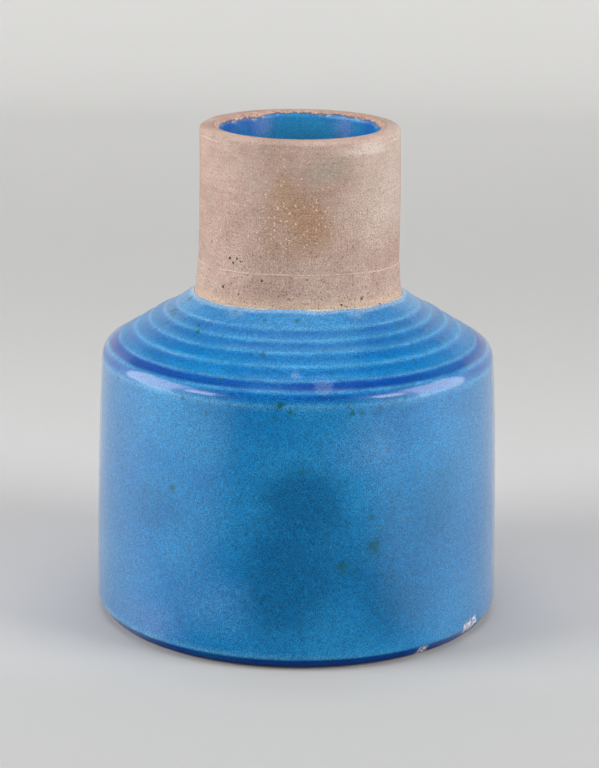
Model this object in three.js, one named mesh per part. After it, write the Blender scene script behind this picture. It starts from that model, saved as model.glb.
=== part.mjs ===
// A wheel-thrown stoneware vase: a straight-sided body with a ridged shoulder, and a tall bare neck
// that is joined to it with slip. Blue glaze covers the outside from the foot to the neck, and lines
// the inside. Lengths are in millimetres, +Z is up, and the origin is the middle of the foot, on the
// surface that the vase stands on. An outline is a list of [radius, height] points that is turned
// about Z. It runs up the outside of a piece and down its inside, so the piece is on its left.
import * as THREE from "three";

// ---- Driving dimensions ----

const FLATS_ROUND = 48; // flats that stand for each circle
const STEP_LENGTH = 2.5; // longest step along a rounded corner
const STEPS = { wall: 5, stub: 4, scoop: 4 }; // steps along the curves that aren't corners
const CORNER_SHARE = 0.45; // the most of either side that a rounded corner takes

const FOOT = {
  radius: 67.3, // of the clay at the top of the bevel, its widest place
  bevelHeight: 4.1,
  bevelInset: 3.5,
  ringWidth: 9, // the flat that the vase stands on
  recessDepth: 2.2, // turned out inside the foot ring
  recessSlope: 2, // how far the recess's side leans in
};
const WALL = {
  height: 83.2, // from the top of the bevel to the shoulder's roll
  taper: 2.6, // how much smaller the radius is at its top
  belly: 0.5, // how far it bows out half way up
  thickness: 5.5,
};
const SHOULDER = {
  rollHeight: 3.7, // the rounded band between the wall and the outermost ridge
  rollInset: 1.4,
  rise: 17.7, // from the outermost ridge to the root of the neck
  thickness: 6,
  ridges: 6,
  firstRidge: 6.2, // from the root of the neck out to the innermost ridge
  scoopDepth: 0.75, // of the hollow between two ridges
};
const NECK = {
  length: 56.3, // from its root to the rim
  rimRadius: 32.6,
  taper: 0.6, // how much larger the radius is at the joint
  flare: 0.9, // how much further the stub spreads at the root
  thickness: 5.9, // at the rim
};
const JOINT = {
  height: 12.1, // of its outer edge above the root of the neck
  bevel: 3, // how much higher its inner edge is
  slip: 0.8, // the layer between the stub and the collar
  proud: 0.15, // how far the slip stands out of the neck
};
const GLAZE = {
  wall: 0.7,
  crest: 0.4, // over a ridge, where it runs thin
  scoop: 0.75, // between ridges, where it pools
  edge: 0.2, // the blunt edge where it stops
  fadeIn: 1.2, // along the bevel, from the blunt edge to the full thickness
  fadeShare: 0.6, // the most of the bevel that this takes
  aboveFloor: 0.8, // bare clay left at the foot of the bevel
  lining: 0.6,
  belowRim: 1.5, // bare clay left inside the mouth
};
const FLOOR_THICKNESS = 7;
const RIM_ROUND = { outer: 2, inner: 1.3 };
const ROUND = { bevel: 0.7, roll: 1.5, root: 2.2, boreFoot: 4, cavityTop: 6, floor: 9 };
const COLOUR = { stoneware: 0xb39b8f, slip: 0xcdb9a8, glaze: 0x1f6fb0, lining: 0x2a74b4 };

// ---- Radii and heights that follow from them ----

const wallFoot = [FOOT.radius, FOOT.bevelHeight];
const wallTop = [wallFoot[0] - WALL.taper, wallFoot[1] + WALL.height];
const shoulderEdge = [wallTop[0] - SHOULDER.rollInset, wallTop[1] + SHOULDER.rollHeight];
const stubRadius = NECK.rimRadius + NECK.taper;
const root = [stubRadius + NECK.flare, shoulderEdge[1] + SHOULDER.rise];
const rimHeight = root[1] + NECK.length;
const boreRadius = NECK.rimRadius - NECK.thickness;
const floorHeight = FOOT.recessDepth + FLOOR_THICKNESS;

// The joint's two conical faces, each from its outer edge to its inner one.
const stubFace = [
  [stubRadius, root[1] + JOINT.height],
  [boreRadius, root[1] + JOINT.height + JOINT.bevel],
];
const collarFace = stubFace.map(([radius, height]) => [radius, height + JOINT.slip]);

// ---- Outline helpers ----

const mix = (a, b, share) => a + (b - a) * share;
const between = (p, q, share) => [mix(p[0], q[0], share), mix(p[1], q[1], share)];

// The unit direction from p to q, and the distance.
function towards(p, q) {
  const length = Math.hypot(q[0] - p[0], q[1] - p[1]);
  return [(q[0] - p[0]) / length, (q[1] - p[1]) / length, length];
}

// The line through p and q, moved to its left.
function movedLeft(p, q, distance) {
  const [ux, uz] = towards(p, q);
  return [p, q].map(([radius, height]) => [radius - uz * distance, height + ux * distance]);
}

// Where two lines cross, each given by two of its points.
function crossing([p, q], [r, s]) {
  const [ux, uz] = towards(p, q);
  const [vx, vz] = towards(r, s);
  const along = ((r[0] - p[0]) * vz - (r[1] - p[1]) * vx) / (ux * vz - uz * vx);
  return [p[0] + ux * along, p[1] + uz * along];
}

// An arc in place of the corner, tangent to the lines to the points before and after it.
function rounded(before, corner, after, radius) {
  const [ax, az, lengthBefore] = towards(corner, before);
  const [bx, bz, lengthAfter] = towards(corner, after);
  const half = Math.acos(ax * bx + az * bz) / 2;
  const cut = Math.min(radius / Math.tan(half), lengthBefore * CORNER_SHARE, lengthAfter * CORNER_SHARE);
  const arcRadius = cut * Math.tan(half);
  const [mx, mz] = towards([0, 0], [ax + bx, az + bz]);
  const reach = arcRadius / Math.sin(half);
  const centre = [corner[0] + mx * reach, corner[1] + mz * reach];
  const start = Math.atan2(corner[1] + az * cut - centre[1], corner[0] + ax * cut - centre[0]);
  const end = Math.atan2(corner[1] + bz * cut - centre[1], corner[0] + bx * cut - centre[0]);
  const turn = Math.atan2(Math.sin(end - start), Math.cos(end - start));
  const steps = Math.max(2, Math.ceil((Math.abs(turn) * arcRadius) / STEP_LENGTH));
  return Array.from({ length: steps + 1 }, (_, i) => {
    const angle = start + (turn * i) / steps;
    return [centre[0] + arcRadius * Math.cos(angle), centre[1] + arcRadius * Math.sin(angle)];
  });
}

// The free side of a coat on the right of an outline. coat holds its thickness at each point.
function coated(outline, coat) {
  const last = outline.length - 1;
  return outline.map((point, i) => {
    const [ax, az] = i > 0 ? towards(outline[i - 1], point) : towards(point, outline[1]);
    const [bx, bz] = i < last ? towards(point, outline[i + 1]) : [ax, az];
    const [nx, nz] = towards([0, 0], [az + bz, -ax - bx]);
    const distance = coat[i] / (nx * az - nz * ax);
    return [point[0] + nx * distance, point[1] + nz * distance];
  });
}

// ---- Outlines of the clay ----

const standingEdge = [wallFoot[0] - FOOT.bevelInset, 0];
const ringInnerEdge = [standingEdge[0] - FOOT.ringWidth, 0];
const recessEdge = [ringInnerEdge[0] - FOOT.recessSlope, FOOT.recessDepth];
const [, , bevelLength] = towards(standingEdge, wallFoot);
const onBevel = (height) => between(standingEdge, wallFoot, height / FOOT.bevelHeight);

// A point of the glazed outside: the clay's point, and the glaze's thickness on it.
const glazed = (point, coat) => ({ point, coat });

function bevelPart(firstWallPoint) {
  const start = onBevel(GLAZE.aboveFloor);
  const full = between(start, wallFoot, Math.min(GLAZE.fadeShare, GLAZE.fadeIn / bevelLength));
  const corner = rounded(full, wallFoot, firstWallPoint, ROUND.bevel);
  return [
    glazed(start, GLAZE.edge),
    glazed(full, GLAZE.wall),
    ...corner.map((point) => glazed(point, GLAZE.wall)),
  ];
}

// The wall without its two ends, bowed out by the belly.
function wallPoints() {
  return Array.from({ length: STEPS.wall - 1 }, (_, i) => {
    const share = (i + 1) / STEPS.wall;
    const [radius, height] = between(wallFoot, wallTop, share);
    return [radius + WALL.belly * 4 * share * (1 - share), height];
  });
}

// Ridges from the outermost in towards the neck, with a hollow arc between each two.
function ridgePart() {
  const innermost = between(root, shoulderEdge, SHOULDER.firstRidge / (shoulderEdge[0] - root[0]));
  const hollows = SHOULDER.ridges - 1;
  const [ux, uz, length] = towards(shoulderEdge, innermost);
  const pitch = length / hollows;
  const arcRadius = (pitch * pitch) / (8 * SHOULDER.scoopDepth) + SHOULDER.scoopDepth / 2;
  const halfTurn = Math.asin(pitch / 2 / arcRadius);
  return Array.from({ length: hollows * STEPS.scoop + 1 }, (_, step) => {
    const hollow = Math.floor(step / STEPS.scoop);
    const angle = mix(-halfTurn, halfTurn, (step % STEPS.scoop) / STEPS.scoop);
    const along = (hollow + 0.5) * pitch + arcRadius * Math.sin(angle);
    const deep = arcRadius * (Math.cos(angle) - Math.cos(halfTurn));
    const point = [shoulderEdge[0] + ux * along - uz * deep, shoulderEdge[1] + uz * along + ux * deep];
    return glazed(point, mix(GLAZE.crest, GLAZE.scoop, deep / SHOULDER.scoopDepth));
  });
}

// The stub's outside above the root, which spreads towards the shoulder.
function stubPoints() {
  return Array.from({ length: STEPS.stub }, (_, i) => {
    const share = (i + 1) / STEPS.stub;
    return [stubRadius + NECK.flare * (1 - share) ** 2, mix(root[1], stubFace[0][1], share)];
  });
}

const wall = wallPoints();
const stub = stubPoints();
const ridges = ridgePart();
const roll = rounded(wall.at(-1), wallTop, shoulderEdge, ROUND.roll);
const rootArc = rounded(ridges.at(-1).point, root, stub[0], ROUND.root);
const glazedOutside = [
  ...bevelPart(wall[0]),
  ...[...wall, ...roll].map((point) => glazed(point, GLAZE.wall)),
  ...ridges,
  ...rootArc.map((point, i) => glazed(point, mix(GLAZE.crest, GLAZE.edge, i / (rootArc.length - 1)))),
];
const clayUnderGlaze = glazedOutside.map(({ point }) => point);

// The cavity's outline, from the joint down to the middle of the floor.
const shoulderInside = movedLeft(shoulderEdge, root, SHOULDER.thickness);
const wallInside = movedLeft(wallFoot, wallTop, WALL.thickness);
const floorMiddle = [0, floorHeight];
const floorTop = [floorMiddle, [standingEdge[0], floorHeight]];
const bore = [stubFace[1], [boreRadius, 0]];
const boreFoot = crossing(shoulderInside, bore);
const cavityTop = crossing(shoulderInside, wallInside);
const floorCorner = crossing(wallInside, floorTop);
const cavity = [
  ...rounded(stubFace[1], boreFoot, cavityTop, ROUND.boreFoot),
  ...rounded(boreFoot, cavityTop, floorCorner, ROUND.cavityTop),
  ...rounded(cavityTop, floorCorner, floorMiddle, ROUND.floor),
  floorMiddle,
];

function bodyOutline() {
  const underside = [[0, FOOT.recessDepth], recessEdge, ringInnerEdge, standingEdge];
  return [...underside, ...clayUnderGlaze, ...stub, stubFace[1], ...cavity];
}

function collarOutline() {
  const outerCorner = [NECK.rimRadius, rimHeight];
  const innerCorner = [boreRadius, rimHeight];
  return [
    collarFace[0],
    ...rounded(collarFace[0], outerCorner, innerCorner, RIM_ROUND.outer),
    ...rounded(outerCorner, innerCorner, collarFace[1], RIM_ROUND.inner),
    collarFace[1],
  ];
}

function slipOutline() {
  const bulge = [stubRadius + JOINT.proud, stubFace[0][1] + JOINT.slip / 2];
  return [stubFace[1], stubFace[0], bulge, collarFace[0], collarFace[1]];
}

function glazeOutline() {
  const surface = coated(clayUnderGlaze, glazedOutside.map(({ coat }) => coat));
  return [...surface, ...clayUnderGlaze.toReversed()];
}

function liningOutline() {
  const clay = [[boreRadius, rimHeight - GLAZE.belowRim], ...cavity];
  const surface = coated(clay, clay.map((_, i) => (i === 0 ? GLAZE.edge : GLAZE.lining)));
  return [...clay.toReversed(), ...surface];
}

// ---- The assembly ----

function turned(name, outline, material) {
  const points = outline.map(([radius, height]) => new THREE.Vector2(radius, height));
  const startsOnAxis = outline[0][0] === 0;
  if (!startsOnAxis) points.push(points[0].clone());
  const geometry = new THREE.LatheGeometry(points, FLATS_ROUND);
  geometry.rotateX(Math.PI / 2); // the lathe turns about Y
  const mesh = new THREE.Mesh(geometry, material);
  mesh.name = name;
  return mesh;
}

const bareClay = (color) => new THREE.MeshStandardMaterial({ color, roughness: 0.85, metalness: 0 });
const glass = (color) => new THREE.MeshStandardMaterial({ color, roughness: 0.12, metalness: 0 });

const vase = new THREE.Group();
vase.name = "stoneware_vase";
vase.add(
  turned("body", bodyOutline(), bareClay(COLOUR.stoneware)),
  turned("joint_slip", slipOutline(), bareClay(COLOUR.slip)),
  turned("neck_collar", collarOutline(), bareClay(COLOUR.stoneware)),
  turned("outer_glaze", glazeOutline(), glass(COLOUR.glaze)),
  turned("inner_glaze", liningOutline(), glass(COLOUR.lining)),
);

export default vase;
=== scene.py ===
# %% [markdown]
# # A stoneware vase with a blue glaze
# The vase was thrown on a wheel, so every piece of it is a shape turned about one upright axis. The
# script draws half of each outline as a string of edges and spins it, which is what the wheel did to
# the clay. Sizes are written in millimetres, and the frame that the pieces fit is loaded first.

# %% The frame
import math

import bmesh
import bpy
from mathutils import Matrix, Vector, noise


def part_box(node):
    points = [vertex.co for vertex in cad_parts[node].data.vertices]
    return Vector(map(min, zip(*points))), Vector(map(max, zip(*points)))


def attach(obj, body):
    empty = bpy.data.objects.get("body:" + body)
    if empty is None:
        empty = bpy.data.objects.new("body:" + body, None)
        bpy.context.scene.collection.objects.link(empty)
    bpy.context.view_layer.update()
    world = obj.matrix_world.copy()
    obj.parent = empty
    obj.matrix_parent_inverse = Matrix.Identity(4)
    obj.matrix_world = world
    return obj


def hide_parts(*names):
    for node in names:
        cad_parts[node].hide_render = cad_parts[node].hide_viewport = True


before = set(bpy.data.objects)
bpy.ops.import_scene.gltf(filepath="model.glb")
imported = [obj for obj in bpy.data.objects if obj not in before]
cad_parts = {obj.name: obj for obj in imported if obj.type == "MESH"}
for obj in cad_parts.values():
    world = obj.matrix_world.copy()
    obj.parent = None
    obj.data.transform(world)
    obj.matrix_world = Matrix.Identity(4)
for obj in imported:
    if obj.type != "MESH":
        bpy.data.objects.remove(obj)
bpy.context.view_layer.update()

MM = 0.001  # a millimetre, in Blender's metres


def box_mm(node):
    """The lowest and highest corners of a node of the frame, in millimetres."""
    low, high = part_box(node)
    return low / MM, high / MM


coat_low, coat_high = box_mm("outer_glaze")
slip_low, slip_high = box_mm("joint_slip")
neck_high = box_mm("neck_collar")[1]
print("coat", coat_low.z, "to", coat_high.z, "radius", coat_high.x)
print("slip", slip_low.z, "to", slip_high.z, "rim", neck_high.z)

# %% [markdown]
# ## Camera
# The camera comes first, because it decides how fine the shapes have to be. A long lens from nearly
# a metre away keeps the sides of the vase almost parallel, and it looks down enough to show the
# mouth. It is rolled by a fraction of a degree, as a camera on a tripod usually is.

# %% Camera
CAMERA = {"lens": 120.9, "sensor": 36, "back": 838, "up": 308.5, "across": 0.8}  # millimetres
CAMERA_TURN = {"down": 15.46, "roll": 0.63}  # degrees


def place_camera():
    lens = bpy.data.cameras.new("camera")
    lens.lens = CAMERA["lens"]
    lens.sensor_width = CAMERA["sensor"]
    camera = bpy.data.objects.new("camera", lens)
    camera.matrix_world = (
        Matrix.Translation(Vector((CAMERA["across"], -CAMERA["back"], CAMERA["up"])) * MM)
        @ Matrix.Rotation(math.radians(90 - CAMERA_TURN["down"]), 4, "X")
        @ Matrix.Rotation(math.radians(CAMERA_TURN["roll"]), 4, "Z")
    )
    bpy.context.scene.collection.objects.link(camera)
    bpy.context.scene.camera = camera
    return camera


camera = place_camera()
print("camera at", [round(c, 3) for c in camera.matrix_world.translation])

# %% [markdown]
# ## Turning an outline
# An outline is a chain of edges in the XZ plane. Its corners are rounded with a vertex bevel, which
# works on bare edges too, long edges are cut into short ones so that the surface can be shaped
# later, and the spin operator turns the chain into a skin. Points on the axis end up as many points
# in one place, so doubles are merged, and then the faces are turned to point outwards.

# %% Outline helpers
ROUND_STEPS = 256  # around the vase, fine enough for a smooth edge close up


def chain(points, closed=False):
    """A bmesh of edges through [radius, height] points."""
    shape = bmesh.new()
    corners = [shape.verts.new((radius * MM, 0, height * MM)) for radius, height in points]
    for first, second in zip(corners, corners[1:]):
        shape.edges.new((first, second))
    if closed:
        shape.edges.new((corners[-1], corners[0]))
    return shape


def corner_at(shape, point):
    """The vertex of a chain at a [radius, height] point."""
    place = Vector((point[0], 0, point[1])) * MM
    return min(shape.verts, key=lambda vert: (vert.co - place).length)


def carry_on(shape, first, points, last=None):
    """Adds a chain of edges from one point of a shape, through new points, to another of its own."""
    here = corner_at(shape, first)
    end = corner_at(shape, last) if last else None
    for radius, height in points:
        there = shape.verts.new((radius * MM, 0, height * MM))
        shape.edges.new((here, there))
        here = there
    if end:
        shape.edges.new((here, end))


def round_off(shape, points, radius, segments=4):
    """Replaces each of these corners by a curve that starts a radius away from it."""
    bmesh.ops.bevel(
        shape,
        geom=[corner_at(shape, point) for point in points],
        offset=radius * MM,
        offset_type="OFFSET",
        segments=segments,
        profile=0.5,
        affect="VERTICES",
        material=-1,
    )


def cut_fine(shape, longest, where=None):
    """Cuts edges so that none is longer than this, or only those whose middle passes the test."""
    for edge in shape.edges[:]:
        middle = (edge.verts[0].co + edge.verts[1].co) / 2 / MM
        if where and not where(middle.x, middle.z):
            continue
        pieces = math.ceil(edge.calc_length() / (longest * MM))
        if pieces > 1:
            bmesh.ops.subdivide_edges(shape, edges=[edge], cuts=pieces - 1)


def spun(shape, steps=ROUND_STEPS):
    """Turns the chain about Z, closes it and makes its faces point outwards."""
    bmesh.ops.spin(
        shape,
        geom=shape.verts[:] + shape.edges[:],
        cent=(0, 0, 0),
        axis=(0, 0, 1),
        dvec=(0, 0, 0),
        angle=2 * math.pi,
        steps=steps,
        use_merge=True,
        use_normal_flip=False,
        use_duplicate=False,
    )
    bmesh.ops.remove_doubles(shape, verts=shape.verts[:], dist=0.001 * MM)
    bmesh.ops.dissolve_degenerate(shape, edges=shape.edges[:], dist=0.0005 * MM)
    bmesh.ops.recalc_face_normals(shape, faces=shape.faces[:])
    return shape


# %% [markdown]
# ## The hand of the thrower
# No thrown pot is a perfect solid of revolution. The neck of this one leans a little to one side of
# the shoulder, and the wall swells by a few tenths of a millimetre from place to place. The joint in
# the neck and the upper edge of the glaze aren't level either: both rise towards the front and back
# by less than a millimetre. One function moves the points of every piece in the same way, so the
# glaze stays on the clay.

# %% Hand-made movement
DRIFT = [  # height, and shift to the right
    (0, 0.45),
    (60, 0.27),
    (90, 0.0),
    (98, -0.1),
    (105, 0.1),
    (115, 0.1),
    (130, 0.3),
    (145, 0.37),
    (155, 0.24),
    (165, -0.1),
]
SWELL = {"size": 55, "amount": 0.25}  # slow swelling of the wall
LINES = {"size": 5, "amount": 0.035}  # the throwing lines, which run round the vase
NOT_LEVEL = {"amount": 0.85, "bottom": 103, "low": 109, "high": 124, "top": 134}  # full from low to high
AXIS = 0.01  # a point this near the axis doesn't move outwards


def between_heights(table, height):
    """Reads a table of (height, value) rows, straight between its rows."""
    for (low, first), (high, second) in zip(table, table[1:]):
        if height <= high:
            share = max(0.0, (height - low) / (high - low))
            return first + (second - first) * share
    return table[-1][1]


def lifted(x, y, height):
    """How far a point is lifted where the joint and the glaze's border rise to the front and back."""
    below = (height - NOT_LEVEL["bottom"]) / (NOT_LEVEL["low"] - NOT_LEVEL["bottom"])
    above = (NOT_LEVEL["top"] - height) / (NOT_LEVEL["top"] - NOT_LEVEL["high"])
    share = max(0.0, min(1.0, below, above))
    return NOT_LEVEL["amount"] * share * (y * y - x * x) / (x * x + y * y)


def thrown(shape):
    """Moves every point as the thrower's hand did."""
    for vert in shape.verts:
        x, y, height = vert.co / MM
        radius = math.hypot(x, y)
        grown = 1
        if radius > AXIS:
            vert.co.z += lifted(x, y, height) * MM
            swell = SWELL["amount"] * noise.noise(Vector((x, y, height)) / SWELL["size"])
            turn = math.atan2(y, x)
            line = noise.noise(Vector((math.cos(turn), math.sin(turn), height / LINES["size"])))
            grown = (radius + swell + LINES["amount"] * line) / radius
        vert.co.x = (x * grown + between_heights(DRIFT, height)) * MM
        vert.co.y = y * grown * MM


# %% Finished piece
SHARP = math.radians(35)  # edges that bend more than this stay crisp


def finished_piece(name, shape, finish):
    """Makes the object of a piece, with its material and smooth shading."""
    mesh = bpy.data.meshes.new(name)
    for face in shape.faces:
        face.smooth = True
    for edge in shape.edges:
        edge.smooth = edge.calc_face_angle(0) < SHARP
    shape.to_mesh(mesh)
    triangles = sum(len(face.verts) - 2 for face in shape.faces)
    shape.free()
    mesh.materials.append(finish)
    piece = bpy.data.objects.new(name, mesh)
    bpy.context.scene.collection.objects.link(piece)
    print(name, "has", triangles, "triangles")
    return piece


# %% [markdown]
# ## Writing a finish
# A finish is a small calculation that Blender does for every spot of a surface. Written as nodes it
# is long, so one class stands for a socket and lets Python's own operators add the Math nodes, and
# another holds the material that they go into.

# %% Numbers on a surface
class Spot:
    """A number, colour or vector that has its own value at each spot of a surface."""

    def __init__(self, finish, socket):
        self.finish = finish
        self.socket = socket

    def maths(self, operation, first, second=None):
        sockets = {0: first} if second is None else {0: first, 1: second}
        return self.finish.node("ShaderNodeMath", {"operation": operation}, sockets)

    def __add__(self, other):
        return self.maths("ADD", self, other)

    def __sub__(self, other):
        return self.maths("SUBTRACT", self, other)

    def __mul__(self, other):
        return self.maths("MULTIPLY", self, other)

    def __truediv__(self, other):
        return self.maths("DIVIDE", self, other)

    def __radd__(self, other):
        return self.maths("ADD", other, self)

    def __rsub__(self, other):
        return self.maths("SUBTRACT", other, self)

    def __rmul__(self, other):
        return self.maths("MULTIPLY", other, self)

    def __abs__(self):
        return self.maths("ABSOLUTE", self)

    def root(self):
        return self.maths("SQRT", self)

    def larger(self, other):
        return self.maths("MAXIMUM", self, other)

    def rising(self, low, high):
        """0 below low, 1 above high, and a smooth step between. With low above high it falls."""
        settings = {"interpolation_type": "SMOOTHSTEP"}
        if low > high:
            sockets = {"Value": self, "From Min": high, "From Max": low, "To Min": 1, "To Max": 0}
        else:
            sockets = {"Value": self, "From Min": low, "From Max": high}
        return self.finish.node("ShaderNodeMapRange", settings, sockets)


# %% A finish and its patterns
class Finish:
    """A material with one Principled shader, and what its patterns start from."""

    def __init__(self, name, **constants):
        self.material = bpy.data.materials.new(name)
        self.material.use_nodes = True
        self.tree = self.material.node_tree
        self.tree.nodes.clear()
        output = self.tree.nodes.new("ShaderNodeOutputMaterial")
        self.shader = self.tree.nodes.new("ShaderNodeBsdfPrincipled")
        self.tree.links.new(self.shader.outputs[0], output.inputs["Surface"])
        for socket, value in constants.items():
            self.shader.inputs[socket.replace("_", " ")].default_value = value
        where = self.node("ShaderNodeTexCoord", output="Object")
        self.place = self.vector("SCALE", where, Scale=1 / MM)  # in millimetres
        self.x = self.node("ShaderNodeSeparateXYZ", {}, {0: self.place}, output="X")
        self.y = self.node("ShaderNodeSeparateXYZ", {}, {0: self.place}, output="Y")
        self.height = self.node("ShaderNodeSeparateXYZ", {}, {0: self.place}, output="Z")
        across, along = self.x * self.x, self.y * self.y
        self.radius = (across + along).root()
        self.wave = (along - across) / (along + across + AXIS)  # 1 at front and back, -1 at the sides

    def node(self, kind, settings=None, sockets=None, output=0):
        """Adds a node: its settings first, and then the values or links of its sockets."""
        made = self.tree.nodes.new(kind)
        for name, value in (settings or {}).items():
            setattr(made, name, value)
        for name, value in (sockets or {}).items():
            if isinstance(value, Spot):
                self.tree.links.new(value.socket, made.inputs[name])
            else:
                made.inputs[name].default_value = value
        return Spot(self, made.outputs[output])

    def vector(self, operation, first, second=None, output=0, **sockets):
        """Vector maths on vectors."""
        inputs = {0: first, **sockets}
        if second is not None:
            inputs[1] = second
        return self.node("ShaderNodeVectorMath", {"operation": operation}, inputs, output)

    def mixed(self, share, first, second, mode="MIX"):
        """A colour between two others."""
        colours = [c if isinstance(c, Spot) else (*c, 1) for c in (first, second)]
        settings = {"data_type": "RGBA", "blend_type": mode}
        return self.node("ShaderNodeMix", settings, {0: share, 6: colours[0], 7: colours[1]}, output=2)

    def cloud(self, size, detail=2, roughness=0.5, stretch=(1, 1, 1), moved=(0, 0, 0)):
        """Soft noise around 0.5, with lumps about this many millimetres across."""
        scaled = self.vector("MULTIPLY", self.place, tuple(1 / (size * s) for s in stretch))
        vector = self.vector("ADD", scaled, moved)
        sockets = {"Vector": vector, "Scale": 1, "Detail": detail, "Roughness": roughness}
        return self.node("ShaderNodeTexNoise", {"noise_dimensions": "3D"}, sockets)

    def specks(self, size, share, moved=(0, 0, 0)):
        """1 in the middle of scattered round grains and 0 outside: share of the cells hold one."""
        vector = self.vector("ADD", self.vector("SCALE", self.place, Scale=1 / size), moved)
        sockets = {"Vector": vector, "Scale": 1}
        distance = self.node("ShaderNodeTexVoronoi", {}, sockets, "Distance")
        colour = self.node("ShaderNodeTexVoronoi", {}, sockets, "Color")
        chosen = self.node("ShaderNodeSeparateColor", {}, {0: colour}).rising(1 - share, 1 - share * 0.5)
        return distance.rising(0.45, 0.15) * chosen

    def place_on(self, turn, radius, height):
        """A place on the vase, this many degrees to the right of its front."""
        angle = math.radians(turn)
        return (math.sin(angle) * radius, -math.cos(angle) * radius, height)

    def spot(self, place, reach, ragged=0.0, softness=0.6):
        """1 at a place, falling to 0 about this far from it, with a ragged edge if wanted."""
        off = self.vector("SUBTRACT", self.place, place)
        distance = self.vector("LENGTH", off, output="Value") / reach
        if ragged:
            distance = distance + (self.cloud(reach * 0.7, 3, 0.65) - 0.5) * ragged
        return distance.rising(1, 1 - softness)

    def scratch(self, start, end, width):
        """1 along a short straight scratch between two places."""
        start, end = Vector(start), Vector(end)
        along = (end - start).normalized()
        half = (end - start).length / 2
        off = self.vector("SUBTRACT", self.place, tuple((start + end) / 2))
        run = self.vector("DOT_PRODUCT", off, tuple(along), output="Value")
        away = self.vector("LENGTH", off, output="Value")
        beside = (away * away - run * run).larger(0).root()
        return beside.rising(width, width * 0.3) * abs(run).rising(half, half * 0.6)

    def patch(self, across, height, wide, tall, radius, ragged=0.0, softness=1.0):
        """1 inside a soft oval on the front of the vase, centred this far across and this high."""
        depth = -math.sqrt(max(0.0, radius * radius - across * across))
        off = self.vector("SUBTRACT", self.place, (across, depth, height))
        length = self.vector("MULTIPLY", off, (1 / wide, 1 / wide, 1 / tall))
        distance = self.vector("LENGTH", length, output="Value")
        if ragged:
            distance = distance + (self.cloud(min(wide, tall) * 0.7, 3, 0.6) - 0.5) * ragged
        return distance.rising(1, 1 - softness)

    def attribute(self, name):
        """A number that was stored on the mesh's points."""
        return self.node("ShaderNodeAttribute", {"attribute_name": name}, {}, "Fac")

    def link(self, socket, value):
        self.tree.links.new(value.socket, self.shader.inputs[socket])

    def colour(self, value):
        self.link("Base Color", value)

    def rough(self, value):
        self.link("Roughness", value)

    def bump(self, layers):
        """Bump nodes in a row, each (height, distance in millimetres), into the shader's normal."""
        normal = None
        for height, distance in layers:
            sockets = {"Height": height, "Distance": distance * MM, "Strength": 1}
            if normal:
                sockets["Normal"] = normal
            normal = self.node("ShaderNodeBump", {}, sockets)
        self.tree.links.new(normal.socket, self.shader.inputs["Normal"])


# %% [markdown]
# ## Bare stoneware
# The neck was left unglazed, so it shows the fired clay: a matt pinkish beige with a fine grain,
# single light and dark grains of grog, small pits, faint turning marks, and stains that the kiln and
# years of use left. The slow changes of colour are large soft clouds of noise, the grain is fine
# noise laid over the colour, and the grog is a scatter of Voronoi cells, of which only some are
# filled. Stains are soft ovals, put where the hand and the flame met the neck. One more pale oval,
# on the right just under the rim, is a painted highlight.

# %% Clay colour and stains
NECK_RADIUS = 33
STAINS_AND_RIM_HIGHLIGHT = [  # across, height, half width, half height, raggedness, strength and colour
    (1, 140, 18, 21, 0.9, 0.65, (0.335, 0.205, 0.125)),
    (4, 138, 10, 13, 0.7, 0.5, (0.335, 0.19, 0.11)),
    (-6, 148, 9, 9, 0.9, 0.45, (0.36, 0.225, 0.125)),
    (9, 155.5, 13, 6, 0.9, 0.6, (0.29, 0.275, 0.235)),
    # painted highlight on the right just under the rim, not a stain
    (22, 161.5, 16, 3.4, 0.7, 0.55, (0.66, 0.58, 0.54)),
]
print(len(STAINS_AND_RIM_HIGHLIGHT), "stains on the neck")


def clay_colour(clay):
    """The clay's own colour, its stains, a painted highlight under the rim, and the warm flash just above
    the glaze.
    """
    tone = clay.cloud(17, 4, 0.6)
    colour = clay.mixed(tone.rising(0.34, 0.68), (0.372, 0.255, 0.206), (0.450, 0.327, 0.273))
    grey = clay.cloud(8, 3, 0.6, moved=(4.1, 1.2, 7.7))
    colour = clay.mixed(grey.rising(0.5, 0.8) * 0.5, colour, (0.36, 0.295, 0.255))
    for across, height, wide, tall, ragged, strength, tint in STAINS_AND_RIM_HIGHLIGHT:
        stain_and_highlight = clay.patch(across, height, wide, tall, NECK_RADIUS, ragged=ragged)
        colour = clay.mixed(stain_and_highlight * strength, colour, tint)
    dusty = clay.spot(clay.place_on(62, NECK_RADIUS, 147), 26, ragged=0.5, softness=0.9)
    dusty = dusty.larger(clay.spot(clay.place_on(80, NECK_RADIUS, 164), 18, softness=0.9))
    colour = clay.mixed(dusty * 0.6, colour, (0.49, 0.415, 0.37))
    flashed = (clay.height - clay.wave * NOT_LEVEL["amount"]).rising(114, 110.6)
    return clay.mixed(flashed * 0.5, colour, (0.54, 0.40, 0.29))


# %% Clay at the rim
def rim_colour(clay, colour):
    """A broken pale line round the outside of the rim, and a dark, speckled crust inside it."""
    lip = abs(clay.height - 162.6 + (clay.cloud(9, 2) - 0.5) * 2.4)
    broken = clay.cloud(7, 2, 0.6, moved=(2, 5, 1)).rising(0.46, 0.62)
    colour = clay.mixed(lip.rising(0.24, 0.06) * broken * 0.6, colour, (0.66, 0.52, 0.46))
    crust = clay.radius.rising(29.6, 28.0) * clay.height.rising(150, 160)
    crusted = clay.cloud(2.2, 3, 0.7).rising(0.4, 0.6)
    colour = clay.mixed(crust * crusted * 0.7, colour, (0.40, 0.21, 0.155))
    speckled = crust * clay.specks(0.9, 0.4, (7, 7, 1))
    return clay.mixed(speckled * 0.75, colour, (0.05, 0.035, 0.04))


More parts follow.
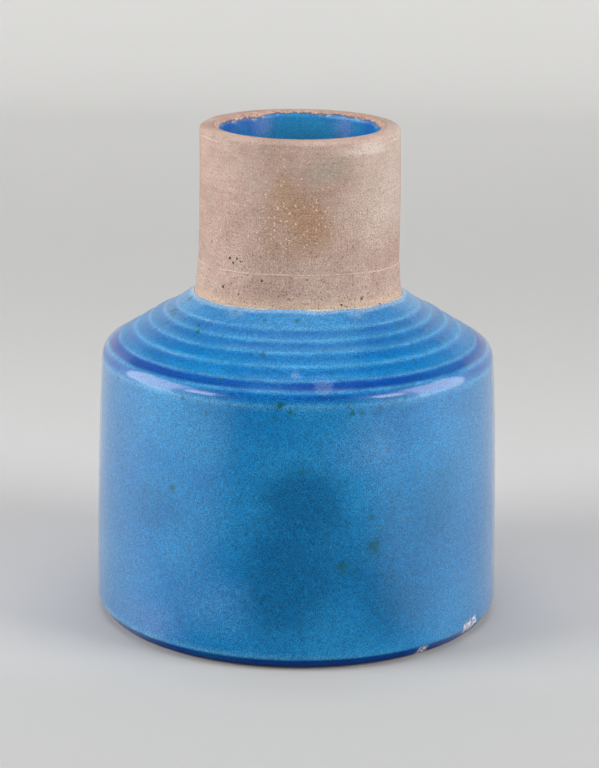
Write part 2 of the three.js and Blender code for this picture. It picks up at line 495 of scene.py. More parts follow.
# %% Clay grain
def clay_grain(clay, colour, low):
    """Turning lines, a grain that is coarser lower down, and light and dark grains of grog."""
    lines = clay.cloud(0.55, 2, 0.6, stretch=(26, 26, 1))
    shade = clay.mixed(lines.rising(0.3, 0.7), (0.43,) * 3, (0.57,) * 3)
    colour = clay.mixed(0.4, colour, shade, "OVERLAY")
    grain = clay.cloud(0.3, 2, 0.85)
    tooth = clay.mixed(grain.rising(0.34, 0.66), (0.18,) * 3, (0.82,) * 3)
    coarse = clay.height.rising(160, 130)
    colour = clay.mixed(0.4 + coarse * 0.3, colour, tooth, "OVERLAY")
    middle = clay.patch(-1, 141, 26, 26, NECK_RADIUS, ragged=0.5)
    light = clay.specks(0.95, 0.35)
    colour = clay.mixed(light * (0.25 + middle * 0.7), colour, (0.72, 0.55, 0.42))
    dark = clay.specks(0.85, 0.3, (5.2, 1.7, 3.1))
    colour = clay.mixed(dark * (0.35 + low * 0.45), colour, (0.13, 0.075, 0.06))
    return colour, [(lines, 0.05), (grain, 0.10), (1 - dark, 0.1)]


# %% Bare stoneware finish
PITS = [  # turn to the right of the front, height and size of the larger pits
    (-41.5, 125.4, 0.75),
    (-39.0, 124.2, 0.6),
    (-36.5, 125.8, 0.55),
    (-34.0, 125.0, 0.45),
    (-58, 129.5, 0.5),
    (-43, 158.5, 0.55),
    (14, 111.4, 0.6),
    (-30, 112.6, 0.5),
    (38, 116.0, 0.4),
    (5, 120.5, 0.4),
    (52, 113.4, 0.45),
]
NICK = ((17.5, -28.6, 161.2), (20.0, -26.9, 162.6), 0.35)  # both ends and the width
PIT_RADIUS = NECK_RADIUS + 0.4
print(len(PITS), "larger pits")


def bare_stoneware():
    clay = Finish("bare_stoneware", Roughness=0.9, Specular_IOR_Level=0.15)
    low = clay.height.rising(132, 116)
    colour = rim_colour(clay, clay_colour(clay))
    colour, relief = clay_grain(clay, colour, low)
    pits = clay.specks(1.6, 0.04, (1.2, 9.7, 3.3)).rising(0.2, 0.6) * (0.3 + low * 0.7)
    for turn, height, size in PITS:
        pits = pits.larger(clay.spot(clay.place_on(turn, PIT_RADIUS, height), size, ragged=0.9))
    colour = clay.mixed(pits * 0.85, colour, (0.07, 0.035, 0.035))
    clay.colour(clay.mixed(clay.scratch(*NICK) * 0.8, colour, (0.80, 0.76, 0.74)))
    clay.bump([*relief, (1 - pits, 0.3)])
    return clay.material


# %% [markdown]
# ## The slip line
# The neck was thrown as a collar and stuck to the body with slip, a cream of clay and water. What
# squeezed out was trimmed flush, and it fired paler than the clay, so it shows as a thin line.

# %% Slip finish
LINE_ABOVE = 0.42  # the middle of the pale line, above the bottom of the joint


def joint_slip():
    slip = Finish("joint_slip", Roughness=0.85, Specular_IOR_Level=0.15)
    tone = slip.cloud(5, 3, 0.6)
    clay = slip.mixed(tone.rising(0.35, 0.65), (0.36, 0.245, 0.20), (0.44, 0.32, 0.27))
    level = slip.height - slip.wave * NOT_LEVEL["amount"] - (slip_low.z + LINE_ABOVE)
    squeezed = abs(level + (slip.cloud(4, 2) - 0.5) * 0.35)
    broken = slip.cloud(6, 3, 0.6, moved=(3, 3, 3)).rising(0.3, 0.55)
    line = squeezed.rising(0.24, 0.05) * (0.12 + broken * 0.48)
    colour = slip.mixed(line, clay, (0.68, 0.55, 0.48))
    grain = slip.cloud(0.3, 3, 0.8)
    tooth = slip.mixed(grain.rising(0.32, 0.68), (0.2,) * 3, (0.8,) * 3)
    slip.colour(slip.mixed(0.7, colour, tooth, "OVERLAY"))
    slip.bump([(grain, 0.12)])
    return slip.material


# %% [markdown]
# ## Blue glaze
# The glaze is a thick glass. Where it lies deep it is a strong blue, and where it ran thin over the
# ridges it is pale. Fine bubbles and crystals break it into light and dark grains under a smooth,
# glossy skin. The mesh carries how deep the glaze lies at each point, with painted shade on the
# rounded band under the ridges and on the bevel of the foot, and the finish adds the slow clouds,
# painted shade towards the left and right of the wall, the grains, and the spots and scratches of
# this one pot. The clear skin is the shader's coat, over a softer layer below it, which is a little
# more matt towards the sides.

# %% Glaze tone
WALL_RADIUS = 67
CLOUDS = [  # across, height, half width, half height, strength and softness of the deeper places
    (2, 38, 27, 38, 0.65, 0.8),
    (-4, 28, 20, 26, 0.75, 0.7),
    (2, 57, 19, 16, 0.85, 0.7),
    (-46, 49, 19, 12, 0.5, 0.8),
    (33, 20, 27, 18, 0.7, 0.9),
    (28, 34, 16, 26, 0.6, 1),
    (45, 46, 24, 28, 0.7, 1),
]
PALER = [(22, 72, 19, 14, 0.8), (-25, 21, 17, 15, 0.75), (-52, 25, 14, 18, 0.3)]
print(len(CLOUDS), "deeper and", len(PALER), "paler clouds")


def glaze_tone(glaze, slow):
    """The blue, with deeper and paler clouds, and painted shade that makes it darker and greyer towards
    the left and right of the wall.
    """
    colour = glaze.mixed(slow.rising(0.3, 0.7), (0.001, 0.148, 0.385), (0.012, 0.205, 0.45))
    for across, height, wide, tall, strength, softness in CLOUDS:
        cloud = glaze.patch(across, height, wide, tall, WALL_RADIUS, ragged=0.8, softness=softness)
        colour = glaze.mixed(cloud * strength, colour, (0.0, 0.105, 0.265))
    for across, height, wide, tall, strength in PALER:
        paler = glaze.patch(across, height, wide, tall, WALL_RADIUS, ragged=0.8)
        colour = glaze.mixed(paler * strength, colour, (0.045, 0.22, 0.47))
    upper = glaze.height.rising(97, 107)
    colour = glaze.mixed(upper * 0.13, colour, (0.24, 0.32, 0.50))
    violet = glaze.spot(glaze.place_on(-47, WALL_RADIUS, 12), 24, ragged=0.5, softness=0.9)
    violet = violet * glaze.height.rising(22, 8)
    colour = glaze.mixed(violet * 0.35, colour, (0.12, 0.14, 0.40))
    # painted shade: a darker, greyer blue towards the left and right of the wall
    painted_side_shade = abs(glaze.x).rising(38, 66) * glaze.height.rising(92, 84)
    return glaze.mixed(painted_side_shade * 0.6, colour, (0.03, 0.145, 0.32))


# %% Glaze depth
HAZE = [  # turn, radius, height and size of the milky places at the border
    (-33, 34.6, 110.2, 6.5),
    (31, 34.6, 110.4, 6.0),
    (-60, 34.8, 110, 4.0),
    (60, 34.8, 110, 4.0),
]
SMUDGES = [  # place, size, raggedness and strength of the pale smudges on the shoulder
    ((-0.3, -57.1, 95.4), 2.4, 1.8, 0.35),
    ((8.5, -60.6, 92.8), 4.0, 2.4, 0.25),
]
print(len(HAZE), "milky places and", len(SMUDGES), "smudges")


def glaze_depth(glaze, colour):
    """Deep blue in the pools and in painted shade on the rounded band and the foot, pale on the ridges,
    and milky where it thins to nothing.
    """
    pool_and_shade = glaze.attribute("pool_and_shade")
    ridge = glaze.attribute("ridge")
    thin = glaze.attribute("thin")
    broken = glaze.cloud(9, 3, 0.6, moved=(1, 2, 3)).rising(0.25, 0.65)
    # deep blue of the pools, and painted shade on the rounded band and the bevel of the foot
    colour = glaze.mixed(pool_and_shade, colour, (0.0, 0.052, 0.27))
    colour = glaze.mixed(ridge * (0.15 + broken * 0.33), colour, (0.10, 0.34, 0.55))
    milky = thin.rising(0.0, 0.55) * 0.35
    for turn, radius, height, size in HAZE:
        blot = glaze.spot(glaze.place_on(turn, radius, height), size, ragged=0.4, softness=0.95)
        milky = milky.larger(blot * 0.3)
    colour = glaze.mixed(milky, colour, (0.42, 0.55, 0.66))
    colour = glaze.mixed(thin.rising(0.75, 1.0), colour, (0.46, 0.44, 0.38))
    smudges = [glaze.spot(place, size, ragged=ragged) * share for place, size, ragged, share in SMUDGES]
    return glaze.mixed(smudges[0].larger(smudges[1]), colour, (0.17, 0.29, 0.50))


# %% Glaze grain
def glaze_grain(glaze, colour):
    """Fine grains and a softer mottle over the colour, with bright tips on the lightest grains."""
    grain = glaze.cloud(0.36, 2, 0.85)
    grey = glaze.mixed(grain.rising(0.31, 0.69), (0.14,) * 3, (0.86,) * 3)
    colour = glaze.mixed(0.8, colour, grey, "OVERLAY")
    mottle = glaze.cloud(1.6, 3, 0.65, moved=(5, 5, 5))
    grey = glaze.mixed(mottle.rising(0.3, 0.7), (0.42,) * 3, (0.58,) * 3)
    colour = glaze.mixed(0.7, colour, grey, "OVERLAY")
    colour = glaze.mixed(grain.rising(0.58, 0.72) * 0.14, colour, (0.02, 0.36, 0.66))
    return colour, grain, mottle


# %% Marks on the glaze
GREEN_SPOTS = [  # turn, radius, height, size and strength
    (-36, 66.9, 57, 1.3, 0.7),
    (22, 67.3, 41, 2.3, 0.6),
    (12.5, 67.4, 35, 2.1, 0.65),
    (17, 67.4, 33.6, 1.3, 0.6),
    (21, 67, 50.5, 0.9, 0.6),
    (1.9, 66.5, 66.2, 1.1, 0.45),
    (-12.6, 49.8, 99.9, 1.2, 0.6),
    (-4.6, 65.1, 87.8, 1.3, 0.9),
    (-1.8, 65.5, 85.7, 1.2, 0.8),
    (15.3, 65.5, 85.0, 1.0, 0.7),
    (23.5, 65.4, 86.1, 1.0, 0.6),
    (-48.8, 42.4, 103.9, 0.9, 0.9),
    (-45.8, 44.8, 102.4, 1.1, 0.9),
    (-57.3, 56.7, 95.7, 1.1, 0.6),
    (-77.0, 36.7, 107.8, 1.6, 0.7),
    (-78.3, 42.2, 104.0, 1.6, 0.8),
    (-25.7, 65.6, 83.0, 1.0, 0.5),
    (-33.3, 65.4, 86.9, 0.9, 0.6),
    (-58.1, 66.9, 57.8, 1.0, 0.5),
]
SCRATCHES = [  # both ends and the width
    ((-48.8, -18.1, 98.5), (-44.2, -18.2, 101.0), 0.45),
    ((-44.2, -17.0, 101.2), (-39.9, -16.6, 103.2), 0.5),
    ((-42.6, -12.4, 103.0), (-38.9, -10.2, 105.3), 0.45),
    ((62.6, -22.6, 66.2), (63.6, -19.0, 68.6), 0.4),
]


def glaze_marks(glaze, colour):
    """Green spots of copper, dark scratches, and a purple edge where the foot was wiped."""
    green = glaze.specks(3.4, 0.06, (2, 6, 3)) * glaze.height.rising(80, 86) * 0.5
    for turn, radius, height, size, strength in GREEN_SPOTS:
        place = glaze.place_on(turn, radius, height)
        green = green.larger(glaze.spot(place, size * 1.3, ragged=2.2, softness=0.8) * strength)
    colour = glaze.mixed(green, colour, (0.010, 0.085, 0.07))
    marks = glaze.scratch(*SCRATCHES[0])
    for start, end, width in SCRATCHES[1:]:
        marks = marks.larger(glaze.scratch(start, end, width))
    colour = glaze.mixed(marks * 0.75, colour, (0.004, 0.03, 0.06))
    colour = glaze.mixed(glaze.height.rising(2.0, 0.9) * 0.6, colour, (0.045, 0.025, 0.07))
    return colour, marks


# %% Blue glaze finish
CHIPS = [  # turn, radius, height and size
    (57.5, 67.4, 3.9, 3.0),
    (61, 67.4, 4.6, 2.6),
    (38.5, 66.2, 1.9, 2.5),
]
print(len(CHIPS), "chips at the foot")


def blue_glaze():
    glaze = Finish("blue_glaze", Specular_IOR_Level=0.42, Coat_Roughness=0.1, Coat_IOR=1.45)
    slow = glaze.cloud(38, 3, 0.5, stretch=(1, 1, 0.8), moved=(3.1, 0.4, 1.7))
    colour = glaze_depth(glaze, glaze_tone(glaze, slow))
    colour, grain, mottle = glaze_grain(glaze, colour)
    colour, marks = glaze_marks(glaze, colour)
    chip = 0
    for turn, radius, height, size in CHIPS:
        flake = glaze.spot(glaze.place_on(turn, radius, height), size, ragged=2.2, softness=0.2)
        chip = flake + chip
    flaked = glaze.cloud(1.1, 3, 0.7).rising(0.42, 0.6)
    broken_clay = glaze.mixed(flaked, (0.11, 0.12, 0.22), (0.72, 0.73, 0.78))
    glaze.colour(glaze.mixed(chip, colour, broken_clay))
    shoulder = glaze.height.rising(91.5, 93.5)
    bevel = glaze.height.rising(3.9, 3.3)
    bare = chip.rising(0, 1).larger(bevel * 0.8)
    glaze.link("Coat Weight", (1 - shoulder * 0.7) * (1 - bare * 0.9))
    glaze.rough(0.285 + abs(glaze.x).rising(18, 58) * 0.14 + slow * 0.03)
    glaze.bump([(glaze.cloud(6, 2, 0.5), 0.05), (mottle, 0.02), (grain, 0.012), (1 - marks, 0.06)])
    return glaze.material


# %% [markdown]
# ## The coat over the outside
# The glaze over the outside is a shell. Its outline runs up the outside of the glaze, and back down
# on the clay under it. The shoulder has six ridges, and the hollows between them are scoops, each
# cut by one sweep of a tool, deepest just below the ridge above them.

# %% The coat's outline
RIDGES = [(63.6, 91.6), (59.4, 94.0), (54.2, 97.3), (49.3, 100.5), (44.3, 103.0), (40.3, 105.8)]
SCOOP = {"depth": 0.6, "along": 0.66}  # how deep, and how far in from the outer of its two ridges
WALL_TOP = (65.6, 87.4)
WALL_FOOT = (coat_high.x, 4.1)
WALL = [(67.75, 26), (67.3, 46), (66.55, 68)]
ROLL = (65.05, 90.1)  # the middle of the rounded band between the wall and the outermost ridge
BEVEL_FOOT = (65.4, coat_low.z)
ROOT = (36.0, 109.2)
COAT_TOP = (34.75, 110.2)


def scoop_between(outer, inner):
    """The deepest point of the hollow between two ridges."""
    across, up = inner[0] - outer[0], inner[1] - outer[1]
    length = math.hypot(across, up)
    deep = SCOOP["depth"] * length / 6
    share = SCOOP["along"]
    return (
        outer[0] + across * share - up * deep / length,
        outer[1] + up * share + across * deep / length,
    )


scoops = [scoop_between(outer, inner) for outer, inner in zip(RIDGES, RIDGES[1:])]
print("scoops at", [[round(c, 1) for c in scoop] for scoop in scoops])


# %% Under the coat
COAT_DEPTH = {"wall": 0.7, "slope": (0.5, 0.8)}  # inwards, and on the slope also down
UNDER_WALL = [(radius - COAT_DEPTH["wall"], height) for radius, height in (WALL_FOOT, *WALL, WALL_TOP)]
print(len(UNDER_WALL), "points of clay under the wall")


def under_slope(points):
    """Where the clay is under these points of the sloping shoulder's glaze."""
    inward, down = COAT_DEPTH["slope"]
    return [(radius - inward, height - down) for radius, height in points]


# %% The coat's shape
CURVES = [  # corners, how far from the corner the curve starts, and its segments
    (scoops, 1.7, 6),
    (RIDGES[1:], 0.5, 3),
    ([RIDGES[0]], 0.45, 3),
    ([ROLL], 1.3, 5),
    ([WALL_TOP], 0.6, 3),
    ([WALL_FOOT], 0.6, 4),
    ([ROOT], 1.2, 4),
]
FINE = {"edge": 0.45, "above": 86, "below": 5, "wall edge": 1.6}


def coat_shape():
    slope = [RIDGES[0]]
    for scoop, ridge in zip(scoops, RIDGES[1:]):
        slope += [scoop, ridge]
    shape = chain([BEVEL_FOOT, WALL_FOOT, *WALL, WALL_TOP, ROLL, *slope, ROOT, COAT_TOP])
    for corners, start, segments in CURVES:
        round_off(shape, corners, start, segments)
    cut_fine(shape, FINE["edge"], lambda radius, height: height > FINE["above"] or height < FINE["below"])
    cut_fine(shape, FINE["wall edge"])
    clay = [*UNDER_WALL, *under_slope((RIDGES[0], *scoops, ROOT))]
    upper_edge = (COAT_TOP[0] - 0.3, COAT_TOP[1] - 0.4)
    lower_edge = (BEVEL_FOOT[0] - 0.4, BEVEL_FOOT[1] + 0.3)
    carry_on(shape, COAT_TOP, [upper_edge, *clay[::-1], lower_edge], BEVEL_FOOT)
    print("coat outline of", len(shape.verts), "points")
    return spun(shape)


# %% [markdown]
# ## The depth of the glaze
# A glaze runs while it melts. It leaves the sharp ridges, gathers in the hollows between them and on
# the bevel of the foot, and thins out at its upper edge. The finish can't know where the ridges are,
# so each point of the mesh stores three numbers: how near it is to a ridge, how deep the pool on it
# is, and how thin the glaze has run. They wander a little round the vase, as a hand-dipped glaze does.
# The pool number also carries painted shade: all round the rounded band below the outermost ridge,
# and on the bevel of the foot, on top of the glaze that pooled there.

# %% How deep the glaze lies
FOOT_LINE = (WALL_FOOT[0] - 0.1, WALL_FOOT[1] + 0.3)  # the pale line at the top of the bevel
DEEPEST = [scoops[0], (61.8, 92.1)]  # the outermost scoop, up to its ridge
THINS_AT = {"height": 108.7, "over": 1.5}


def nearness(radius, height, points, reach):
    """1 on one of the points, falling to 0 over about this distance."""
    nearest = min(math.hypot(radius - r, height - z) for r, z in points)
    return math.exp(-((nearest / reach) ** 2))


def mark_depth(shape):
    """Stores on each point how near it is to a ridge, to a pool and painted shade, and to the thin upper
    edge.
    """
    ridge = shape.verts.layers.float.new("ridge")
    pool_and_shade = shape.verts.layers.float.new("pool_and_shade")
    thin = shape.verts.layers.float.new("thin")
    for vert in shape.verts:
        x, y, height = vert.co / MM
        radius = math.hypot(x, y)
        turn = math.atan2(y, x)
        wander = noise.noise(Vector((math.cos(turn) * 3, math.sin(turn) * 3, height / 9)))
        left = 0.5 - 0.5 * x / max(radius, 1)
        foot_line = nearness(radius, height, [FOOT_LINE], 0.55) * left * 1.8
        vert[ridge] = max(nearness(radius, height, [*RIDGES, WALL_TOP], 0.75), foot_line)
        pooled_and_shaded = max(
            nearness(radius, height, scoops[1:], 1.6) * 0.42,
            nearness(radius, height, DEEPEST, 2.0) * 1.1,
            # painted shade: the rounded band below the outermost ridge is darkened all round, where it
            # mirrors the dark room
            nearness(radius, height, [ROLL], 1.6) * 0.8,
            # the bevel of the foot: pooled glaze, darkened further as painted shade of its underside
            max(0.0, min(1.0, (WALL_FOOT[1] - 0.1 - height) / 0.8)) * 1.1,  # the bevel of the foot
        )
        vert[pool_and_shade] = pooled_and_shaded * (0.9 + 0.5 * wander)
        edge = (height - THINS_AT["height"] + 0.6 * wander) / THINS_AT["over"]
        vert[thin] = max(0.0, min(1.0, edge))


# %% [markdown]
# ## Chips
# The foot was knocked in two places, and small flakes broke off the glaze. A flake is a dent in the
# mesh, pushed in unevenly, and the finish shows pale broken clay at the same places.

# %% Chips at the foot
DENT = {"depth": 0.45, "share": 0.9, "steepness": 2.5, "skin": 3.5, "lumps": 1.3}


def knock_chips(shape):
    """Pushes the surface in where the foot lost a flake, unevenly."""
    for turn, radius, height, size in CHIPS:
        angle = math.radians(turn)
        middle = Vector((math.sin(angle) * radius, -math.cos(angle) * radius, height))
        inward = Vector((-math.sin(angle), math.cos(angle), 0.3))
        for vert in shape.verts:
            place = vert.co / MM
            near = 1 - (place - middle).length / (size * DENT["share"])
            if near > 0 and math.hypot(place.x, place.y) > radius - DENT["skin"]:
                rough = 0.7 + 0.6 * noise.noise(place / DENT["lumps"])
                vert.co += inward * min(1, near * DENT["steepness"]) * rough * DENT["depth"] * MM


# %% The coat
coat = coat_shape()
mark_depth(coat)
knock_chips(coat)
thrown(coat)
blue_coat = finished_piece("blue_coat", coat, blue_glaze())
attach(blue_coat, "root")
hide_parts("outer_glaze")

# %% [markdown]
# ## The clay
# The body is one thrown piece, from the foot ring up to the short stub that the neck sits on. Most
# of it is under the glaze, so it needs fine shape only where it is bare: the foot, the stub, and
# the mouth. The neck is a collar with a rounded rim, and the slip fills the joint between them.

# %% Clay body
BORE = 26.7
FOOT_RING = [(0, 2.2), (52.8, 2.2), (54.8, 0), (63.8, 0)]
STUB = [(33.3, slip_low.z), (33.55, 119), (33.8, 115), (34.15, 112), (34.5, 110.3)]
CAVITY = [(BORE, 126.4), (BORE, 108.4), (28.6, 105.0), (56.4, 88.2), (59.3, 83.2)]
CAVITY += [(61.35, 18.5), (58.8, 11.9), (52.4, 9.2), (0, 9.2)]
STUB_ROOT = (35.2, 108.2)  # under the glaze's upper edge


def body_shape():
    under_coat = [*UNDER_WALL, *under_slope((RIDGES[0], *scoops))]
    outline = [*FOOT_RING, *under_coat, STUB_ROOT, *STUB[::-1], *CAVITY]
    shape = chain(outline)
    round_off(shape, FOOT_RING[1:], 0.5, 3)
    cut_fine(shape, 1.0, lambda radius, height: 109 < height < slip_low.z and radius > 30)
    return spun(shape)


body = body_shape()
thrown(body)
clay_finish = bare_stoneware()
clay_body = finished_piece("clay_body", body, clay_finish)
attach(clay_body, "root")
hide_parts("body")

# %% Clay neck
RIM = {"outer": 1.5, "inner": 1.8, "radius": 32.95}
JOINT_RADIUS = 33.3


def neck_shape():
    top = neck_high.z
    outside = [(JOINT_RADIUS, slip_low.z + 0.8), (33.15, 143), (RIM["radius"], top)]
    outline = [*outside, (BORE, top), (BORE, slip_high.z)]
    shape = chain(outline, closed=True)
    round_off(shape, [outline[2]], RIM["outer"], 6)
    round_off(shape, [outline[3]], RIM["inner"], 5)
    cut_fine(shape, 1.2)
    return spun(shape)


neck = neck_shape()
thrown(neck)
clay_neck = finished_piece("clay_neck", neck, clay_finish)
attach(clay_neck, "root")
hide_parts("neck_collar")

# %% Slip line
SLIP_RISE = 3  # the joint is this much higher at the bore than outside


def slip_shape():
    low, high = slip_low.z, slip_high.z - SLIP_RISE
    outside = [(JOINT_RADIUS, low), (JOINT_RADIUS + 0.04, (low + high) / 2), (JOINT_RADIUS, high)]
    outline = [*outside, (BORE, high + SLIP_RISE), (BORE, low + SLIP_RISE)]
    return spun(chain(outline, closed=True))


slip = slip_shape()
thrown(slip)
slip_line = finished_piece("slip_line", slip, joint_slip())
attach(slip_line, "root")
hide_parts("joint_slip")

# %% [markdown]
# ## The lining
# The inside was glazed by pouring glaze in and out again, which left a ragged edge just under the
# rim, where the glaze drew back from the clay and left a rough crust. The lining is a shell like the
# coat. Its upper end runs up over the inner rounding of the rim, and the finish decides spot by spot
# where the glaze stops and the bare crust starts, so the edge can be ragged on a smooth mesh.

# %% Lining colour
# painted reflections of the lamps in the lining, near the back of the mouth
PAINTED_REFLECTIONS = [(-12.5, 23, 160.5), (15, 21.5, 160.5)]  # paler places near the back of the mouth
print(len(PAINTED_REFLECTIONS), "paler places in the lining")


def lining_colour(glaze):
    slow = glaze.cloud(14, 3, 0.55)
    colour = glaze.mixed(slow.rising(0.35, 0.65), (0.003, 0.095, 0.40), (0.012, 0.22, 0.46))
    back = glaze.spot((2, 26, 156), 19, ragged=0.6, softness=0.9)
    colour = glaze.mixed(back * 0.8, colour, (0.035, 0.31, 0.57))
    # painted reflections of the lamps: lavender places on the back of the lining
    for place in PAINTED_REFLECTIONS:
        painted_reflection = glaze.spot(place, 6, ragged=0.6, softness=1)
        colour = glaze.mixed(painted_reflection * 0.45, colour, (0.20, 0.24, 0.58))
    deep = glaze.spot((-22, 14, 160), 11, ragged=0.5, softness=0.9)
    colour = glaze.mixed(deep * 0.6, colour, (0.02, 0.075, 0.33))
    grain = glaze.cloud(0.45, 2, 0.7)
    grey = glaze.mixed(grain.rising(0.3, 0.7), (0.3,) * 3, (0.7,) * 3)
    return glaze.mixed(0.7, colour, grey, "OVERLAY")


# %% Lining finish
EDGE = {"height": 163.2, "slope": 0.75, "lower": 0.35, "back": 0.02, "left": 0.8}


def above_edge(glaze):
    """How far a spot is above the lining's ragged edge, which is lower on the left at the back."""
    left_back = glaze.spot((-19, 19, 164), 15, softness=1)
    ragged = (glaze.cloud(3.5, 4, 0.7) - 0.5) * 3.0 + (glaze.cloud(0.9, 2, 0.7) - 0.5) * 2.0
    level = (glaze.height - EDGE["height"] + glaze.radius - BORE) * EDGE["slope"] - EDGE["lower"]
    return level - glaze.y * EDGE["back"] + left_back * EDGE["left"] + ragged


def lining_glaze():
    glaze = Finish("lining_glaze", Roughness=0.4, Coat_Roughness=0.17, Coat_IOR=1.45)
    above = above_edge(glaze)
    milky = above.rising(-1.3, -0.3) * glaze.cloud(4, 2, 0.6, moved=(3, 3, 3)).rising(0.52, 0.64)
    colour = glaze.mixed(milky * 0.6, lining_colour(glaze), (0.42, 0.52, 0.58))
    lumps = glaze.cloud(1.4, 3, 0.7).rising(0.35, 0.65)
    crust = glaze.mixed(lumps, (0.38, 0.20, 0.15), (0.52, 0.36, 0.29))
    crust = glaze.mixed(glaze.specks(0.8, 0.5, (7, 1, 1)) * 0.85, crust, (0.05, 0.04, 0.05))
    bare = above.rising(-0.15, 0.15)
    colour = glaze.mixed(bare, colour, crust)
    drawn_back = abs(above).rising(0.4, 0.1)
    glaze.colour(glaze.mixed(drawn_back * 0.7, colour, (0.03, 0.04, 0.09)))
    glaze.link("Coat Weight", 0.5 * above.rising(-2.2, -4.5))
    glaze.bump([(glaze.cloud(3, 2, 0.5), 0.1), (bare, 0.15)])
    return glaze.material


# %% Lining
LINING_DEPTH = 0.6
RIM_ARC = (BORE + RIM["inner"], neck_high.z - RIM["inner"])  # the middle of the rim's inner rounding


def on_rim(turn, lift):
    """A point this many degrees up the inner rounding, and this far off it."""
    angle = math.radians(turn)
    reach = RIM["inner"] + lift
    return (RIM_ARC[0] - math.cos(angle) * reach, RIM_ARC[1] + math.sin(angle) * reach)


MOUTH = [on_rim(turn, -0.04) for turn in (78, 60, 40, 20, 0)]  # the lining lies on the clay here
LIP = [on_rim(*step) for step in ((78, 0.1), (60, 0.18), (40, 0.28), (20, 0.4), (0, 0.5))]
INSIDE = [(BORE - LINING_DEPTH, 160), (BORE - LINING_DEPTH, 108.2), (28.2, 104.5), (56.0, 87.7)]
INSIDE += [(58.7, 83.1), (60.75, 18.5), (58.3, 12.5), (52.4, 9.8), (0, 9.8)]


def lining_shape():
    shape = chain([*MOUTH, *CAVITY[1:]])
    carry_on(shape, MOUTH[0], [*LIP, *INSIDE])
    cut_fine(shape, 0.6, lambda radius, height: height > 160)
    cut_fine(shape, 4)
    return spun(shape)


lining = lining_shape()
thrown(lining)
blue_lining = finished_piece("blue_lining", lining, lining_glaze())
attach(blue_lining, "root")
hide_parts("inner_glaze")

# %% [markdown]
# ## The studio
# The vase stands on pale paper that curves up into a wall all round it. Two large soft lamps, one on
# each side, light the clay and the colour of the glaze, and a weak one in front and one overhead
# soften the shadows. A glossy pot also mirrors its lamps, and the best place for a light isn't always
# the best place for its mirror image. So the large lamps are hidden from reflections, and others are
# seen only there: two wide ones far round, for the sheen on the sides of the wall, and two small
# ones, for the highlights on the rounded shoulder. Two dark cards, which only reflections see, lie
# and stand in front of the vase and keep the middle of the glaze deep.

# %% Floor and wall
STUDIO = {"radius": 1500, "curve": 500, "height": 900}


def shaded_paper_finish():
    paper = Finish("paper", Roughness=0.9, Specular_IOR_Level=0.1)
    # painted shade and light: the paper is darkest in front of the vase, a little lighter beside and
    # behind it, and much lighter far back
    near = paper.mixed(paper.y.rising(-95, 10), (0.424, 0.424, 0.417), (0.495, 0.490, 0.495))
    far = paper.mixed(paper.y.rising(30, 200), near, (0.525, 0.522, 0.52))
    colour = paper.mixed(paper.y.rising(350, 1200), far, (0.82, 0.815, 0.80))
    paper.colour(colour)
    return paper.material


def paper_shape():
    wide, high = STUDIO["radius"], STUDIO["height"]
    shape = chain([(0, 0), (wide, 0), (wide, high)])
    round_off(shape, [(wide, 0)], STUDIO["curve"], 24)
    spun(shape, 96)
    bmesh.ops.reverse_faces(shape, faces=shape.faces[:])
    return shape


paper = finished_piece("paper", paper_shape(), shaded_paper_finish())

# %% Dark cards
LYING = {"wide": 340, "long": 440, "middle": -400, "lift": 0.8, "half": 900}
STANDING = {"wide": (1100, 500), "high": (900, 500), "back": -1000, "middle": 200, "half": 1100}


def card_finish():
    """Black, and clear towards the edges, so that no edge shows in the glaze."""
    card = Finish("card", Base_Color=(0.002, 0.002, 0.003, 1), Roughness=1.0, Specular_IOR_Level=0.0)
    across, depth = card.x / LYING["wide"], (card.y - LYING["middle"]) / LYING["long"]
    front = (across * across + depth * depth).root()
    sideways = abs(card.x) / (20 - card.y).larger(1)
    lying = front.rising(1.25, 0.7) * sideways.rising(1.0, 0.45)
    standing = abs(card.x).rising(*STANDING["wide"]) * card.height.rising(*STANDING["high"])
    card.link("Alpha", lying.larger(standing * card.y.rising(-900, -950)))
    return card.material


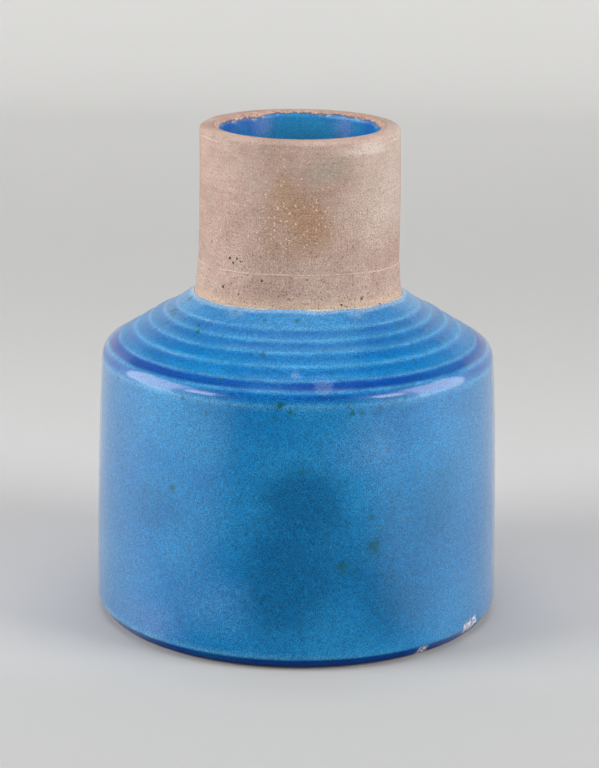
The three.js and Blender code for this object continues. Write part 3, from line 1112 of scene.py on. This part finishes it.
def card_shape():
    """One card lies in front of the vase, the other stands further out behind the camera."""
    shape = bmesh.new()
    grid = {"x_segments": 1, "y_segments": 1}
    lying = Matrix.Translation(Vector((0, 0, LYING["lift"])) * MM)
    bmesh.ops.create_grid(shape, **grid, size=LYING["half"] * MM, matrix=lying)
    standing = Matrix.Translation(Vector((0, STANDING["back"], STANDING["middle"])) * MM)
    upright = Matrix.Rotation(math.radians(90), 4, "X")
    bmesh.ops.create_grid(shape, **grid, size=STANDING["half"] * MM, matrix=standing @ upright)
    return shape


card = finished_piece("card", card_shape(), card_finish())
card.visible_camera = False
card.visible_diffuse = False
card.visible_shadow = False

# %% Lamps
AIM = 90  # every lamp points at the axis of the vase, this high
LAMPS = [  # name, turn, distance, height, width, length, watts, and what can't see it
    ("soft_left", -72, 1000, 500, 560, 900, 13.4, "visible_glossy"),
    ("soft_right", 66, 1000, 500, 520, 900, 12.3, "visible_glossy"),
    ("edge_left", -94, 1000, 430, 760, 800, 7, "visible_diffuse"),
    ("edge_right", 90, 1000, 430, 760, 800, 7, "visible_diffuse"),
    ("hot_left", -58, 980, 470, 320, 330, 1.7, "visible_diffuse"),
    ("hot_right", 54, 980, 470, 320, 330, 1.7, "visible_diffuse"),
    ("fill", 0, 1500, 900, 1200, 800, 1.6, "visible_glossy"),
    ("overhead", 0, 1, 1700, 1200, 1200, 14, "visible_glossy"),
]


def softbox(name, turn, distance, height, wide, tall, watts):
    """A lamp this far round from the camera, in degrees, with positive to the right."""
    data = bpy.data.lights.new(name, "AREA")
    data.shape = "RECTANGLE"
    data.size = wide * MM
    data.size_y = tall * MM
    data.energy = watts
    lamp = bpy.data.objects.new(name, data)
    angle = math.radians(turn)
    lamp.location = Vector((math.sin(angle) * distance, -math.cos(angle) * distance, height)) * MM
    towards = Vector((0, 0, AIM)) * MM - lamp.location
    lamp.rotation_euler = towards.to_track_quat("-Z", "Y").to_euler()
    lamp.visible_camera = False
    bpy.context.scene.collection.objects.link(lamp)
    return lamp


for *lamp, unseen_by in LAMPS:
    setattr(softbox(*lamp), unseen_by, False)
print(len(LAMPS), "lamps")

# %% The room
AIR = {"Color": (0.9, 0.95, 1.0, 1), "Strength": 0.04}

room = bpy.data.worlds.new("room")
room.use_nodes = True
for socket, value in AIR.items():
    room.node_tree.nodes["Background"].inputs[socket].default_value = value
bpy.context.scene.world = room
bpy.context.scene.view_settings.view_transform = "Standard"
print("room light", AIR["Strength"])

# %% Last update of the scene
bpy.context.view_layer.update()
